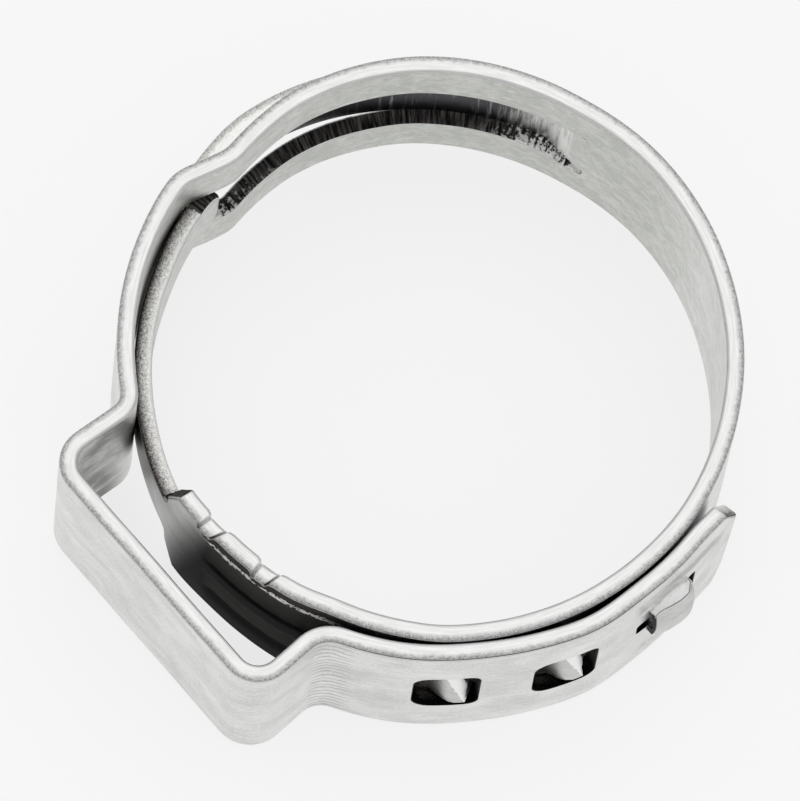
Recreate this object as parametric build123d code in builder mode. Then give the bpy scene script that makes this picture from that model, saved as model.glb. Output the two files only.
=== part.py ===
from build123d import *
import os
from math import acos, cos, degrees, radians, sin, tan

# One strip of stainless spring band wound about 1.6 turns. The hose axis is Z, the ear is on +Y
# and the band's edges are at plus and minus half its width. Angles run round Z from +X.

# --- driving dimensions, mm and degrees ---
hose_radius = 9.6            # inside of the ring
band_width = 7.0
band_thickness = 0.6
edge_break = 0.12            # the strip's long edges are broken this much

tongue_width = 2.6           # narrow inner end that slides in the slot
tongue_tuck = 0.06           # the tongue is rolled this much tighter than the ring
tongue_start = 9.0
tongue_corner = 0.8
shoulder_start = 77.8        # the tongue starts to widen here, steeply at first
shoulder_knee = 78.4
shoulder_knee_height = 2.1
shoulder_end = 81.7
shoulder_fillet = 0.3
tuck_end = 100.0             # from here the inner layer eases back to the ring circle
ring_start = 126.0

slot_width = 2.9
slot_side_gap = 0.05
slot_end = -71.5
bridge_foot = -62.5          # top of the ramp that brings the bridge back to the ring
bridge_crown = -8.0
bridge_foot_rise = 0.46      # how far it stands out of the ring at its foot
bridge_crown_rise = 0.84     # and at its crown, clear of the rails
bridge_foot_bend = 1.2
bridge_toe_bend = 0.8

step_start = 5.5             # the rails climb from the ring to the outer layer
step_end = 15.5
step_foot_bend = 1.0
step_head_bend = 1.5
rail_end = 17.0              # the slot's other end
layer_gap = 0.06             # tongue to outer layer
latch_gap = 0.10             # inner band to outer band beyond the ear

ear_inside_width = 9.7
ear_neck_width = 9.35
ear_height = 2.45            # ring circle to inside of the roof
ear_corner = 1.0             # bends are measured on the middle of the strip
ear_root_tongue_side = 0.8
ear_root_latch_side = 1.2

latch_pitch = 21.3           # three windows, evenly spaced
first_window = 135.8
window_length = 11.6
window_width = 2.8
window_corner = 0.35
hook_width = 2.5
hook_side_gap = 0.05
hook_root = 3.1              # hook angles are from the start of its window
hook_knee = 7.0
hook_end = 9.7
hook_bend = 0.8
hook_clear = 0.3
hook_slant = 0.4
hook_bevel = 0.2

guide_window_length = 12.6
guide_neck_lead = 0.9        # the guide hook's window starts early, with a narrow neck
guide_neck_length = 5.6
guide_neck_width = 0.8
guide_width = 2.7
guide_thickness = 0.45
guide_gap = 0.14
guide_free_end = 1.8
guide_knee = 10.9
guide_root = 11.7
guide_bend = 0.36

tip_bend_end = 191.0         # the strip runs on straight from here
tip_end = 202.3
tip_corner_length = 1.0
tip_corner_width = 1.5

flat_depth = 0.07            # flats pressed beside the guide hook
flat_inner = 1.45
flat_outer = 2.7
flat_middle = 5.3
flat_length = 6.0

nib_height = 0.2             # ratchet-shaped nibs coined on the inner band's top edge
nib_length = 0.75
nib_angles = (90.2, 103.8)

groove_start = 91.0          # stiffening grooves in the inner band, facing the ear
groove_end = 128.0
groove_depth = 0.12
groove_width = 1.1
groove_offset = 1.45

clear = 1.0                  # cutters run this far past the metal
lap = 3.0                    # pieces run this many degrees into each other where they join

# --- what follows from them ---
half_band = band_thickness / 2
half_width = band_width / 2
ring_mid = hose_radius + half_band
ring_back = hose_radius + band_thickness
tongue_face = hose_radius - tongue_tuck
tongue_mid = ring_mid - tongue_tuck
outer_mid = tongue_mid + band_thickness + layer_gap
latch_mid = ring_mid + band_thickness + latch_gap
latch_face = latch_mid + half_band
between = ring_back + latch_gap / 2
foot_mid = ring_mid + bridge_foot_rise
crown_mid = ring_mid + bridge_crown_rise
roof_mid = hose_radius + ear_height + half_band
guide_mid = latch_face + guide_gap + guide_thickness / 2
neck_x = ear_neck_width / 2 + half_band
roof_x = ear_inside_width / 2 + half_band
tongue_side_foot = degrees(acos(neck_x / outer_mid))
latch_side_foot = 180 - degrees(acos(neck_x / latch_mid))
tip_length = latch_mid * tan(radians(tip_end - tip_bend_end))
inside = hose_radius - clear
outside = latch_face + clear


def polar(radius, angle):
    """Point on a circle about the hose axis."""
    return (radius * cos(radians(angle)), radius * sin(radians(angle)))


def along(angle, sense=1):
    """Direction of travel round the ring at an angle."""
    return (-sense * sin(radians(angle)), sense * cos(radians(angle)))


def arc_length(angle, radius):
    """Length round a circle of an angle in degrees."""
    return radians(angle) * radius


def radial(angle, radius):
    """Plane facing outward: its x runs round the ring and its y up the hose axis."""
    out = polar(1, angle) + (0,)
    return Plane(origin=polar(radius, angle) + (0,), x_dir=along(angle) + (0,), z_dir=out)


def wedge(inner, outer, start, end, low, high):
    """Cutter: a piece of a ring between two radii, two angles and two heights."""
    with BuildPart() as piece:
        with BuildSketch(Plane.XY.offset(low)):
            with BuildLine():
                CenterArc((0, 0), outer, start, end - start)
                Line(polar(outer, end), polar(inner, end))
                CenterArc((0, 0), inner, end, start - end)
                Line(polar(inner, start), polar(outer, start))
            make_face()
        extrude(amount=high - low)
    return piece.part


def opening(start, length, width):
    """Cutter: a round-cornered window through the outer band only."""
    with BuildPart() as piece:
        with BuildSketch(radial(start + length / 2, between)):
            RectangleRounded(arc_length(length, latch_mid), width, window_corner)
        extrude(amount=outside - between)
    return piece.part


def at_corner(shape, point):
    """The vertex of a drawn line that sits at a point."""
    return shape.vertices().sort_by_distance((point[0], point[1], 0))[0]


with BuildPart() as clamp_band:
    # full-width strip: from the shoulders round the ring, up the step, over the ear, to the tip
    with BuildSketch():
        with BuildLine() as band_line:
            CenterArc((0, 0), tongue_mid, shoulder_start - lap, tuck_end - shoulder_start + lap)
            Spline([polar(tongue_mid, tuck_end), polar(ring_mid, ring_start)],
                   tangents=[along(tuck_end), along(ring_start)])
            CenterArc((0, 0), ring_mid, ring_start, 360 + step_start - ring_start)
            Line(polar(ring_mid, step_start), polar(outer_mid, step_end))
            CenterArc((0, 0), outer_mid, step_end, tongue_side_foot - step_end)
            Line(polar(outer_mid, tongue_side_foot), (roof_x, roof_mid))
            Line((roof_x, roof_mid), (-roof_x, roof_mid))
            Line((-roof_x, roof_mid), polar(latch_mid, latch_side_foot))
            CenterArc((0, 0), latch_mid, latch_side_foot, tip_bend_end - latch_side_foot)
            tip_from = Vector(*polar(latch_mid, tip_bend_end))
            Line(tip_from, tip_from + Vector(*along(tip_bend_end)) * tip_length)
            fillet(at_corner(band_line, polar(ring_mid, step_start)), step_foot_bend)
            fillet(at_corner(band_line, polar(outer_mid, step_end)), step_head_bend)
            fillet(at_corner(band_line, polar(outer_mid, tongue_side_foot)), ear_root_tongue_side)
            fillet(at_corner(band_line, (roof_x, roof_mid)), ear_corner)
            fillet(at_corner(band_line, (-roof_x, roof_mid)), ear_corner)
            fillet(at_corner(band_line, polar(latch_mid, latch_side_foot)), ear_root_latch_side)
        trace(line_width=band_thickness)
    extrude(amount=half_width, both=True)
    edges_up_and_down = clamp_band.edges().group_by(Axis.Z)
    chamfer(edges_up_and_down[0] + edges_up_and_down[-1], edge_break)

    # the slot that leaves two rails
    add(wedge(inside, outside, slot_end, rail_end, -slot_width / 2, slot_width / 2),
        mode=Mode.SUBTRACT)

    # the shoulders slope from the full width down to the tongue
    for side in (1, -1):
        with BuildSketch(radial(shoulder_end, inside)):
            with BuildLine() as shoulder:
                foot = (-arc_length(shoulder_end - shoulder_start, hose_radius), side * tongue_width / 2)
                knee = (-arc_length(shoulder_end - shoulder_knee, hose_radius), side * shoulder_knee_height)
                back = foot[0] - arc_length(2 * lap, hose_radius)
                Polyline((back, foot[1]), foot, knee, (0, side * half_width),
                         (0, side * band_width), (back, side * band_width), (back, foot[1]))
                fillet(at_corner(shoulder, foot), shoulder_fillet)
                fillet(at_corner(shoulder, knee), shoulder_fillet)
            make_face()
        extrude(amount=ring_back + half_band - inside, mode=Mode.SUBTRACT)

    # the tongue tucks under the outer layer and into the slot
    with BuildSketch():
        with BuildLine():
            CenterArc((0, 0), tongue_mid, tongue_start, shoulder_end - tongue_start)
        trace(line_width=band_thickness)
    extrude(amount=tongue_width / 2, both=True)
    for side in (1, -1):
        tongue_end = polar(tongue_mid, tongue_start) + (side * tongue_width / 2,)
        fillet(clamp_band.edges().sort_by_distance(tongue_end)[0], tongue_corner)

    # the bridge carries the middle of the strip over the slot and sinks between the rails at its foot
    with BuildSketch():
        with BuildLine() as bridge_line:
            CenterArc((0, 0), outer_mid, rail_end + lap, -lap)
            Spline([polar(outer_mid, rail_end), polar(crown_mid, bridge_crown),
                    polar(foot_mid, bridge_foot)],
                   tangents=[along(rail_end, -1), along(bridge_foot, -1)])
            Line(polar(foot_mid, bridge_foot), polar(ring_mid, slot_end))
            CenterArc((0, 0), ring_mid, slot_end, -lap)
            fillet(at_corner(bridge_line, polar(foot_mid, bridge_foot)), bridge_foot_bend)
            fillet(at_corner(bridge_line, polar(ring_mid, slot_end)), bridge_toe_bend)
        trace(line_width=band_thickness)
    extrude(amount=slot_width / 2 - slot_side_gap, both=True)

    # two support hooks stand up out of the inner band, each in its own window of the outer band
    for n in range(2):
        window = first_window + n * latch_pitch
        add(opening(window, window_length, window_width), mode=Mode.SUBTRACT)
        add(wedge(inside, between, window + hook_root, window + hook_end + lap / 2,
                  -hook_width / 2 - hook_side_gap, hook_width / 2 + hook_side_gap),
            mode=Mode.SUBTRACT)
        with BuildSketch():
            with BuildLine() as hook_line:
                CenterArc((0, 0), ring_mid, window + hook_root - lap, lap)
                Line(polar(ring_mid, window + hook_root), polar(latch_mid, window + hook_knee))
                CenterArc((0, 0), latch_mid, window + hook_knee, hook_end - hook_knee)
                fillet(at_corner(hook_line, polar(ring_mid, window + hook_root)), hook_bend)
                fillet(at_corner(hook_line, polar(latch_mid, window + hook_knee)), hook_bend)
            trace(line_width=band_thickness)
        extrude(amount=hook_width / 2, both=True)

        # its free end is sheared on a slant and the outer edge bevelled
        with BuildSketch(radial(window + hook_end, between)):
            with BuildLine():
                reach = hook_width / 2 + hook_side_gap
                Polyline((-hook_slant / 2, reach), (hook_slant / 2, -reach), (hook_clear, -reach),
                         (hook_clear, reach), (-hook_slant / 2, reach))
            make_face()
        extrude(amount=outside - between, mode=Mode.SUBTRACT)
        end_point = polar(latch_face, window + hook_end) + (0,)
        chamfer(clamp_band.edges().sort_by_distance(end_point)[0], hook_bevel)

    # the guide hook comes up at the far end of the third window and lies back over the band
    window = first_window + 2 * latch_pitch
    add(opening(window + guide_neck_length, guide_window_length - guide_neck_length, window_width),
        mode=Mode.SUBTRACT)
    add(opening(window - guide_neck_lead, guide_neck_lead + guide_neck_length + lap, guide_neck_width),
        mode=Mode.SUBTRACT)
    add(wedge(inside, between, window + guide_free_end, window + guide_root + lap / 2,
              -guide_width / 2 - hook_side_gap, guide_width / 2 + hook_side_gap), mode=Mode.SUBTRACT)
    with BuildSketch():
        with BuildLine() as guide_line:
            CenterArc((0, 0), ring_mid, window + guide_root + lap, -lap)
            Line(polar(ring_mid, window + guide_root), polar(guide_mid, window + guide_knee))
            CenterArc((0, 0), guide_mid, window + guide_knee, guide_free_end - guide_knee)
            fillet(at_corner(guide_line, polar(ring_mid, window + guide_root)), guide_bend)
            fillet(at_corner(guide_line, polar(guide_mid, window + guide_knee)), guide_bend)
        trace(line_width=guide_thickness)
    extrude(amount=guide_width / 2, both=True)

    # flats pressed into the outer face on both sides of the guide hook
    for side in (1, -1):
        with BuildSketch(radial(window + flat_middle, latch_face - flat_depth)):
            with Locations((0, side * (flat_inner + flat_outer) / 2)):
                Rectangle(flat_length, flat_outer - flat_inner)
        extrude(amount=clear, mode=Mode.SUBTRACT)

    # the outer tip has its corners cut off
    for side in (1, -1):
        with BuildSketch(radial(tip_bend_end, latch_mid - band_thickness)):
            with BuildLine():
                cut_start = (tip_length - tip_corner_length, side * half_width)
                cut_end = (tip_length + clear, side * (half_width - tip_corner_width))
                Polyline(cut_start, (tip_length, cut_end[1]), cut_end,
                         (cut_end[0], side * band_width), (cut_start[0], side * band_width), cut_start)
            make_face()
        extrude(amount=2 * band_thickness, mode=Mode.SUBTRACT)

    # two shallow stiffening grooves along the inner band, on the face under the ear
    for side in (1, -1):
        low = side * groove_offset - groove_width / 2
        add(wedge(ring_back - groove_depth, between, groove_start, groove_end, low, low + groove_width),
            mode=Mode.SUBTRACT)

    # the nibs rise slowly and drop off square
    for angle in nib_angles:
        with BuildSketch(radial(angle, tongue_face)):
            with BuildLine():
                nib_foot = half_width - edge_break
                nib_top = half_width + nib_height
                Polyline((-nib_length / 2, nib_foot), (-nib_length / 4, nib_top), (nib_length / 2, nib_top),
                         (nib_length / 2, nib_foot), (-nib_length / 2, nib_foot))
            make_face()
        extrude(amount=band_thickness)

os.makedirs("parts", exist_ok=True)
clamp_band.part.label = "clamp_band"
export_step(clamp_band.part, "parts/clamp_band.step")
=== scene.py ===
from math import acos, cos, degrees, pi, radians, sin, tan

import bpy
import numpy as np
from mathutils import Matrix, Vector, noise
from mathutils.bvhtree import BVHTree
from mathutils.geometry import delaunay_2d_cdt


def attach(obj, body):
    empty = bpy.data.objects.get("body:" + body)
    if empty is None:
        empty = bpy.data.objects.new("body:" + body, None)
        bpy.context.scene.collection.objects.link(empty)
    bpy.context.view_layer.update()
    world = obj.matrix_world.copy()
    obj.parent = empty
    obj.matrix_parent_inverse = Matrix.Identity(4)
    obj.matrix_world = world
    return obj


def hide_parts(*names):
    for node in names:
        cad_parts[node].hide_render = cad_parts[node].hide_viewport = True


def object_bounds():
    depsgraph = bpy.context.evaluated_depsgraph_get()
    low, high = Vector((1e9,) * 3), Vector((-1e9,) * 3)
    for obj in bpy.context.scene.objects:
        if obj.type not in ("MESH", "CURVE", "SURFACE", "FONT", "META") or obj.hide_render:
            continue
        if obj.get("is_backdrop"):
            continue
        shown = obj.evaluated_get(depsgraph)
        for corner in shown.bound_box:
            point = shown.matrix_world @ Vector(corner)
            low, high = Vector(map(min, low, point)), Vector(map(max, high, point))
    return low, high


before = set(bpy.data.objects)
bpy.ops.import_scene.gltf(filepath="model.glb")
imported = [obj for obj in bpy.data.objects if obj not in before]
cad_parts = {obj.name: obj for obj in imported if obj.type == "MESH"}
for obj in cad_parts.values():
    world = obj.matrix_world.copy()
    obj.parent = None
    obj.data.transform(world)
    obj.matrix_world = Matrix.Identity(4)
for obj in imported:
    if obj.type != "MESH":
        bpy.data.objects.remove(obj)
cad_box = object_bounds()

# One stamped strip of stainless band, drawn flat and then wound. Sizes are in millimetres and
# degrees round the hose axis; a place on the strip is (s, z), its length from the end of the tongue
# and its height on the hose axis.
MM = 0.001

# --- the strip ---
HOSE_RADIUS = 9.6
BAND_WIDTH = 7.0
BAND_THICKNESS = 0.6
HALF_BAND = BAND_THICKNESS / 2
HALF_WIDTH = BAND_WIDTH / 2
RING_MID = HOSE_RADIUS + HALF_BAND

TONGUE_HALF_WIDTH = 1.3
TONGUE_MID = RING_MID - 0.06
TONGUE_START = 9.0
TONGUE_CORNER = 0.8
SHOULDER_START = 77.8
SHOULDER_KNEE = (78.4, 2.1)
SHOULDER_END = 81.7
TUCK_END = 100.0
RING_START = 126.0

STEP_START = 5.5
STEP_END = 15.5
OUTER_MID = TONGUE_MID + BAND_THICKNESS + 0.06
LATCH_MID = RING_MID + BAND_THICKNESS + 0.10
LATCH_FACE = LATCH_MID + HALF_BAND

ROOF_X = 9.7 / 2 + HALF_BAND
NECK_X = 9.35 / 2 + HALF_BAND
ROOF_MID = HOSE_RADIUS + 2.45 + HALF_BAND
TONGUE_SIDE_FOOT = degrees(acos(NECK_X / OUTER_MID))
LATCH_SIDE_FOOT = 180 - degrees(acos(NECK_X / LATCH_MID))
TIP_BEND_END = 191.0
TIP_END = 201.7
TIP_LENGTH = LATCH_MID * tan(radians(TIP_END - TIP_BEND_END))
TIP_CORNER = (0.6, 1.1)      # how far back and how far down its upper corner is cut
TIP_LOWER_CORNER = ((0.6, 0.0), (0.25, 1.5))     # and the two points of its lower one

# bend radii of the middle line
STEP_BENDS = (1.0, 1.5)
EAR_FEET_BENDS = (0.8, 1.2)
EAR_CORNER_BEND = 1.0
BRIDGE_BENDS = (0.6, 1.2)
HOOK_BENDS = (0.8, 0.5)
GUIDE_BEND = 0.36

# how far the wound strip springs off its true circles: (turn round the hose axis, offset)
SPRING = ((9, -0.05), (16, -0.05), (31, -0.13), (47, -0.07), (57, -0.04), (70, 0.03),
          (82, 0.11), (92, -0.04), (111, -0.04), (118, -0.16), (130, -0.05), (139, 0.06),
          (193, 0.06), (219, -0.06), (246, -0.12), (272, -0.06), (291, -0.09), (301, -0.03),
          (325, 0.13), (340, 0.09), (349, 0.02), (359, -0.18), (366.5, -0.33), (372.6, -0.21),
          (377, -0.09), (417, -0.08), (425, 0.0), (480, 0.0), (494, 0.05), (508, 0.0),
          (518, 0.07), (528, 0.18), (538, 0.05), (553, 0.05), (562, 0.2))

# --- what is cut and raised in it ---
SLOT_HALF_WIDTH = 1.45
BRIDGE_HALF_WIDTH = 1.40
SLOT_END = -71.5
SLOT_LEAD = 0.9              # the slot is cut this much past the foot of the bridge's ramp
SLOT_TEAR = (0.12, 0.30)     # how far its end is torn open above and below
BRIDGE_FOOT = (10.46, -62.5)
BRIDGE_CROWN = (10.83, -5.0)
BRIDGE_HEAD = (10.51, 14.0)
RAIL_END = 17.0

WINDOWS = (135.8, 157.1, 178.4)
WINDOW_LENGTH = 11.6
WINDOW_HALF_WIDTH = 1.4
HOOK_HALF_WIDTH = 1.25
HOOK_SLIT = 0.05             # the cut round a hook
HOOK_FAR_CUT = 0.15          # and at its free end
HOOK_LEAD = 2.0              # how much of its path lies in the ring before the root
HOOK_ROOT = 3.1
HOOK_KNEE = 7.0
HOOK_END = 9.7
HOOK_TAKE_UP = 0.9           # how much further its free end is cut in the flat strip
HOOK_SLANT = 0.25
HOOK_BEVEL = 0.3
GUIDE_WINDOW_LENGTH = 12.2
GUIDE_NECK = (-0.9, 5.6)
GUIDE_NECK_HALF_WIDTH = 0.4
GUIDE_HALF_WIDTH = 1.35
GUIDE_WAIST_HALF_WIDTH = 1.2
GUIDE_THICKNESS = 0.5
GUIDE_CROWN = 0.2
GUIDE_TAPER = (0.4, 0.25)
GUIDE_LOW = LATCH_FACE + 0.06
GUIDE_HIGH = LATCH_FACE + 0.26
GUIDE_FREE_END = 1.8
GUIDE_KNEE = 9.3
GUIDE_ROOT = 9.9
GUIDE_TAIL = 2.3             # how much of its path lies in the ring past the root
GUIDE_THROAT = 9.2
EMBOSS = 0.10                # the latch end stands out past the guide hook
EMBOSS_START = 546.5
EMBOSS_HALF_WIDTH = 2.1
EMBOSS_END_GAP = 0.7

NIBS = (90.2, 103.8)
NIB_LENGTH = 0.75
NIB_HEIGHT = 0.2
NIB_LIFT = 0.18              # the nibs are pushed outwards
NIB_LEAN = 0.1
GROOVE_SPAN = (91.0, 128.0)
GROOVE_DEPTH = 0.12
GROOVE_HALF_WIDTH = 0.8
GROOVE_OFFSET = 1.45
FLAT_DEPTH = 0.07
FLAT_MIDDLE = 5.3
FLAT_SPAN = (1.45, 2.7)

# --- how uneven and torn it is ---
WAVE = (2.2, 0.012)          # (size, height) of the sheet's slow waves
DIMPLES = (0.6, 0.002)
CUT_GRAIN = (0.25, 0.004)
TEAR_GRAIN = (0.14, 0.06)
TEAR_LIMITS = (-0.01, 0.12)
TEARS = ((360 + SLOT_END, 0.6, 1.4, 2.6), (360 + RAIL_END, 0, 0.6, 0.8), (372, 0, 1.2, 0.8),
         (360, 0, 2.0, 0.35), (300, 0, 2.0, 0.4))    # (turn, further along, reach, how badly)

# finishes of the cut edges and faces, each told to the materials by one number
RIM = 1.0
GUIDE_WALL = 0.85
BRIDGE_WALL = 0.75
NIB_START = 0.62
HOOK_WALL = 0.55
TONGUE_WALL = 0.50
NIB_END = 0.47
RAIL_WALL = 0.16
TORN_RAIL = 0.42
WINDOW_WALL = 0.05
HIDDEN_WALL = 0.0
BEVEL_FACE = 1.0
HOOK_FACE = 0.4

# --- where its surface changes, in degrees of turn along the strip ---
DARK_SHOULDER_END = 85
LATCH_FINISH_START = 480
FAR_INSIDE = (262, 372)      # the inside is painted greyer as shade opposite the ear and under the step
NEAR_INSIDE = (60, 110)
LEG_REFLECTIONS = (423, 438)
EAR_SHADE_LEAD = 84.5            # the painted shade under the ear starts along a slanting line
EAR_SHADE_START = (89.5, 92)
EAR_SHADE_END = (127, 128)
BRIDGE_FADE = (360 - 67, 360 - 48)
LIT_SCUFFS = ((134.5, 140), (156, 161.5))
EAR_ROOT = 475.5
RIM_LINE = (479, 542)
CREASE_START = 544

# where the inner face and the cut edges are laid on the strip's map, beside the outer face
INNER_SHIFT = 20
WALL_SHIFT = 40

# --- how finely it is meshed ---
BEND_STEP = 0.02
EDGE_STEP = 0.14
FACE_STEP = (0.16, 0.25)
FINE_STEP = (0.09, 0.12)
EDGE_ROUND = 0.11
CUT_ROUND = 0.05
EDGE_REST = 0.04
ROUND_STEPS = 3
WALL_STEPS = 6


def polar(radius, angle):
    """Point on a circle about the hose axis."""
    return Vector((radius * cos(radians(angle)), radius * sin(radians(angle))))


def arc(radius, start, end):
    """Points along a circle about the hose axis."""
    steps = max(2, round(abs(radians(end - start)) * radius / BEND_STEP))
    return [polar(radius, start + (end - start) * i / steps) for i in range(steps + 1)]


def bezier(a, b, c, d, steps=None):
    """Points along a cubic curve from a to d."""
    steps = steps or max(8, round((d - a).length / BEND_STEP))
    run = []
    for i in range(steps + 1):
        t = i / steps
        run.append(a * (1 - t) ** 3 + b * 3 * t * (1 - t) ** 2 + c * 3 * t * t * (1 - t) + d * t ** 3)
    return run


def sweep(radius_a, angle_a, radius_b, angle_b):
    """Points that drift from one circle to another, leaving and joining both smoothly."""
    reach = radians(angle_b - angle_a) * (radius_a + radius_b) / 6
    leave = polar(1, angle_a + 90) * reach
    join = polar(1, angle_b + 90) * reach
    start, end = polar(radius_a, angle_a), polar(radius_b, angle_b)
    return bezier(start, start + leave, end - join, end)


def straight(a, b):
    """Points along a straight line."""
    steps = max(2, round((b - a).length / BEND_STEP))
    return [a.lerp(b, i / steps) for i in range(steps + 1)]


def bend(before, after, radius):
    """Joins two runs of points with a bend of a given radius."""
    turn = (before[-1] - before[-4]).angle(after[3] - after[0])
    trim = max(1, round(radius * tan(turn / 2) / BEND_STEP))
    before, after = before[:-trim], after[trim:]
    handle = 4 / 3 * tan(turn / 4) * radius
    start, end = before[-1], after[0]
    leave = (before[-1] - before[-2]).normalized() * handle
    join = (after[1] - after[0]).normalized() * handle
    return before + bezier(start, start + leave, end - join, end, 16)[1:-1] + after


class Run:
    """The middle line of a length of strip, looking down the hose axis."""

    def __init__(self, points):
        kept = [points[0]]
        for point in points[1:]:
            if (point - kept[-1]).length > BEND_STEP / 8:
                kept.append(point)
        self.xy = np.array([tuple(p) for p in kept])
        steps = np.linalg.norm(np.diff(self.xy, axis=0), axis=1)
        self.reach = np.concatenate([[0], np.cumsum(steps)])
        self.length = self.reach[-1]
        self.way = np.gradient(self.xy, self.reach, axis=0)
        turns = np.unwrap(np.arctan2(self.xy[:, 1], self.xy[:, 0]))
        self.turns = np.maximum.accumulate(np.degrees(turns))

    def at(self, s):
        """Points, and the outward directions there."""
        xy = np.stack([np.interp(s, self.reach, self.xy[:, i]) for i in (0, 1)], axis=1)
        way = np.stack([np.interp(s, self.reach, self.way[:, i]) for i in (0, 1)], axis=1)
        way /= np.linalg.norm(way, axis=1)[:, None]
        return xy, np.stack([way[:, 1], -way[:, 0]], axis=1)

    def length_at(self, turn):
        """Length along the strip at an angle, counted on from the start of the tongue."""
        return float(np.interp(turn, self.turns, self.reach))

    def turn_at(self, s):
        """Angle at a length along the strip."""
        return np.interp(s, self.reach, self.turns)


def wind():
    """The whole strip: tongue, ring, step, ear and latch end."""
    turn = 360
    run = arc(TONGUE_MID, TONGUE_START, TUCK_END)
    run += sweep(TONGUE_MID, TUCK_END, RING_MID, RING_START)
    run += arc(RING_MID, RING_START, turn + STEP_START)
    climb = straight(polar(RING_MID, STEP_START), polar(OUTER_MID, STEP_END))
    run = bend(run, climb, STEP_BENDS[0])
    run = bend(run, arc(OUTER_MID, STEP_END, TONGUE_SIDE_FOOT), STEP_BENDS[1])
    shoulder, far_shoulder = Vector((ROOF_X, ROOF_MID)), Vector((-ROOF_X, ROOF_MID))
    run = bend(run, straight(polar(OUTER_MID, TONGUE_SIDE_FOOT), shoulder), EAR_FEET_BENDS[0])
    run = bend(run, straight(shoulder, far_shoulder), EAR_CORNER_BEND)
    run = bend(run, straight(far_shoulder, polar(LATCH_MID, LATCH_SIDE_FOOT)), EAR_CORNER_BEND)
    run = bend(run, arc(LATCH_MID, LATCH_SIDE_FOOT, TIP_BEND_END), EAR_FEET_BENDS[1])
    tip = polar(LATCH_MID, TIP_BEND_END)
    return Run(run + straight(tip, tip + polar(TIP_LENGTH, TIP_BEND_END + 90)))


def spring(turn):
    """How far the strip stands off its true circle at an angle, smoothed."""
    turns = np.arange(0, 600, 1.0)
    knots = np.array(SPRING)
    offsets = np.interp(turns, knots[:, 0], knots[:, 1])
    soft = np.exp(-(np.arange(-9, 10) / 3.0) ** 2)
    offsets = np.convolve(np.pad(offsets, 9, mode="edge"), soft / soft.sum(), mode="valid")
    return np.interp(turn, turns, offsets)


strip = wind()
turn_to = strip.length_at


class Tab:
    """A part of the strip that is cut free on its sides and raised on a path of its own."""

    def __init__(self, points, start, end, half_width, crown=0.0, thins=None):
        self.run, self.start, self.end, self.half_width = Run(points), start, end, half_width
        self.crown, self.thins = crown, thins
        self.bridges = self.end - self.start > 10

    def holds(self, s, z):
        """Which places of the strip belong to it."""
        return (s >= self.start) & (s <= self.end) & (np.abs(z) < self.half_width + HOOK_SLIT / 4)

    def stretch(self, s):
        """Length along its own path."""
        return (s - self.start) / (self.end - self.start) * self.run.length

    def sprung(self, s, radius):
        """How far it is carried along: by its two ends, or by the layer that it reaches."""
        if self.bridges:
            ends = spring(strip.turn_at(np.array([self.start, self.end])))
            return np.interp(s, [self.start, self.end], ends)
        share = np.clip((radius - RING_MID) / (LATCH_MID - RING_MID), 0, 1)
        turn = strip.turn_at(s)
        return (1 - share) * spring(turn) + share * spring(turn + 360)

    def thickness(self, s):
        """Share of the strip's thickness that it keeps."""
        if not self.thins:
            return np.ones_like(s)
        return np.interp(s, *self.thins)


def bridge_tab():
    """The middle of the strip, carried over the slot."""
    ramp = straight(polar(RING_MID, SLOT_END), polar(*BRIDGE_FOOT))
    span = sweep(*BRIDGE_FOOT, *BRIDGE_CROWN) + sweep(*BRIDGE_CROWN, *BRIDGE_HEAD)
    span += sweep(*BRIDGE_HEAD, OUTER_MID, RAIL_END)
    run = bend(arc(RING_MID, SLOT_END - SLOT_LEAD, SLOT_END), ramp, BRIDGE_BENDS[0])
    return Tab(bend(run, span, BRIDGE_BENDS[1]), turn_to(360 + SLOT_END - SLOT_LEAD),
               turn_to(360 + RAIL_END), BRIDGE_HALF_WIDTH)


def support_tab(window):
    """A hook that leans up through a window and stops there."""
    start, end = window + HOOK_ROOT - HOOK_LEAD, window + HOOK_END + HOOK_TAKE_UP
    climb = straight(polar(RING_MID, window + HOOK_ROOT), polar(LATCH_MID, window + HOOK_KNEE))
    run = bend(arc(RING_MID, start, window + HOOK_ROOT), climb, HOOK_BENDS[0])
    run = bend(run, arc(LATCH_MID, window + HOOK_KNEE, window + HOOK_END), HOOK_BENDS[1])
    return Tab(run, turn_to(start), turn_to(end), HOOK_HALF_WIDTH)


def guide_tab(window):
    """A hook that comes up behind its window and lies back over the band."""
    start, end = window + GUIDE_FREE_END, window + GUIDE_ROOT + GUIDE_TAIL
    drop = straight(polar(GUIDE_HIGH, window + GUIDE_KNEE), polar(RING_MID, window + GUIDE_ROOT))
    run = bend(sweep(GUIDE_LOW, start, GUIDE_HIGH, window + GUIDE_KNEE), drop, GUIDE_BEND)
    run = bend(run, arc(RING_MID, window + GUIDE_ROOT, end), GUIDE_BEND)
    first, last, thin = turn_to(start), turn_to(end), GUIDE_THICKNESS / BAND_THICKNESS
    reach, share = GUIDE_TAPER
    thins = [first, first + reach, last - 0.5, last], [thin * share, thin, thin, 1]
    return Tab(run, first, last, GUIDE_HALF_WIDTH, GUIDE_CROWN, thins)


tabs = [bridge_tab(), support_tab(WINDOWS[0]), support_tab(WINDOWS[1]), guide_tab(WINDOWS[2])]


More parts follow.
